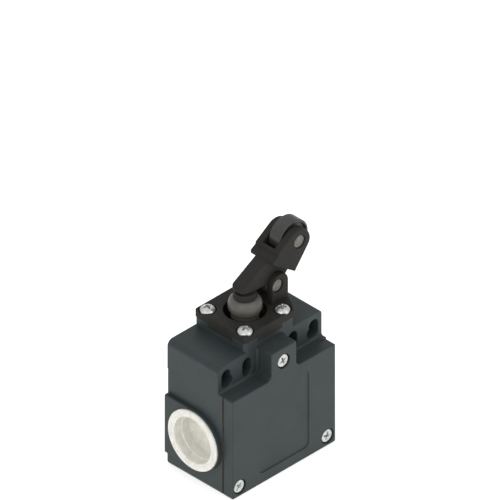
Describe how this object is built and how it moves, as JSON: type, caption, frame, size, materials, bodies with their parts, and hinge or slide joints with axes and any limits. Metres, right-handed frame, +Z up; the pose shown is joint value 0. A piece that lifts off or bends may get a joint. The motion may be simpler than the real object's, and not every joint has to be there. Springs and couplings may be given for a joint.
{
  "type": "limit switch",
  "caption": "Roller-lever limit switch: die-cast housing with screwed cover, two side conduit entries, slotted flange, sprung plunger head and contact block.",
  "frame": {"origin": "on the base plane of the housing, under the plunger's axis", "axes": "+Z up along the plunger towards the lever, +X to the right along the front cover (the roller's side), +Y towards the rear mounting face"},
  "size_m": [0.0553, 0.0313, 0.0856],
  "materials": {
    "housing_enamel": "satin blue-grey stove enamel on zinc die casting",
    "black_enamel": "satin black coating with a fine grain",
    "gasket_cork": "matt brown gasket",
    "boot_rubber": "smooth grey rubber with a dull sheen",
    "zinc_plated_screw": "bright zinc plating",
    "bright_steel": "ground steel",
    "spring_steel": "drawn wire",
    "sintered_bronze": "sintered",
    "terminal_brass": "stamped",
    "contact_copper": "stamped",
    "block_plastic": "moulded thermoset",
    "carrier_plastic": "moulded",
    "roller_plastic": "turned, slightly worn tread",
    "cap_plastic": "milky translucent moulding"
  },
  "bodies": {
    "root": {"housing": "housing_enamel", "cover_gasket": "gasket_cork", "front_cover": "housing_enamel", "cover_screw_top": "zinc_plated_screw", "cover_screw_left": "zinc_plated_screw", "cover_screw_right": "zinc_plated_screw", "head_body": "black_enamel", "head_gasket": "gasket_cork", "head_screw_front_left": "zinc_plated_screw", "head_screw_front_right": "zinc_plated_screw", "head_screw_rear_left": "zinc_plated_screw", "head_screw_rear_right": "zinc_plated_screw", "plunger_boot": "boot_rubber", "guide_bush": "sintered_bronze", "plunger_spring": "spring_steel", "lever_pin": "bright_steel", "conduit_cap_left": "cap_plastic", "conduit_cap_right": "cap_plastic", "contact_block_base": "block_plastic", "contact_block_cover": "block_plastic", "carrier_spring": "spring_steel", "terminal_no_left": "terminal_brass", "clamp_washer_no_left": "zinc_plated_screw", "terminal_screw_no_left": "zinc_plated_screw", "terminal_no_right": "terminal_brass", "clamp_washer_no_right": "zinc_plated_screw", "terminal_screw_no_right": "zinc_plated_screw", "terminal_nc_left": "terminal_brass", "clamp_washer_nc_left": "zinc_plated_screw", "terminal_screw_nc_left": "zinc_plated_screw", "terminal_nc_right": "terminal_brass", "clamp_washer_nc_right": "zinc_plated_screw", "terminal_screw_nc_right": "zinc_plated_screw", "block_screw_left": "zinc_plated_screw", "block_screw_right": "zinc_plated_screw", "earth_washer": "terminal_brass", "earth_screw": "terminal_brass"},
    "plunger": {"plunger_cap": "black_enamel", "plunger_rod": "bright_steel", "spring_seat": "bright_steel"},
    "lever": {"lever": "black_enamel", "roller_pin": "bright_steel"},
    "roller": {"roller": "roller_plastic"},
    "carrier": {"contact_carrier": "carrier_plastic", "bridge_contact_nc": "contact_copper", "bridge_contact_no": "contact_copper"}
  },
  "joints": [
    {"name": "lever_tilt", "type": "hinge", "parent": "root", "child": "lever", "pos_m": [0.0108, 0, 0.0649], "axis": [0, -1, 0], "range_deg": [0, 20], "stiffness_Nm_per_rad": 0.15, "springref_deg": -34.38},
    {"name": "roller_spin", "type": "hinge", "parent": "lever", "child": "roller", "pos_m": [0.0208, 0, 0.0786], "axis": [0, 1, 0], "continuous": true},
    {"name": "plunger_stroke", "type": "slide", "parent": "root", "child": "plunger", "axis": [0, 0, -1], "range_m": [0, 0.0039], "deforming": ["plunger_boot", "plunger_spring"]},
    {"name": "carrier_stroke", "type": "slide", "parent": "root", "child": "carrier", "axis": [0, 0, -1], "range_m": [0, 0.0039], "deforming": ["carrier_spring"]}
  ],
  "couplings": [
    {"joint": "plunger_stroke", "follows": "lever_tilt", "m_per_rad": 0.0111},
    {"joint": "carrier_stroke", "follows": "lever_tilt", "m_per_rad": 0.0111}
  ]
}
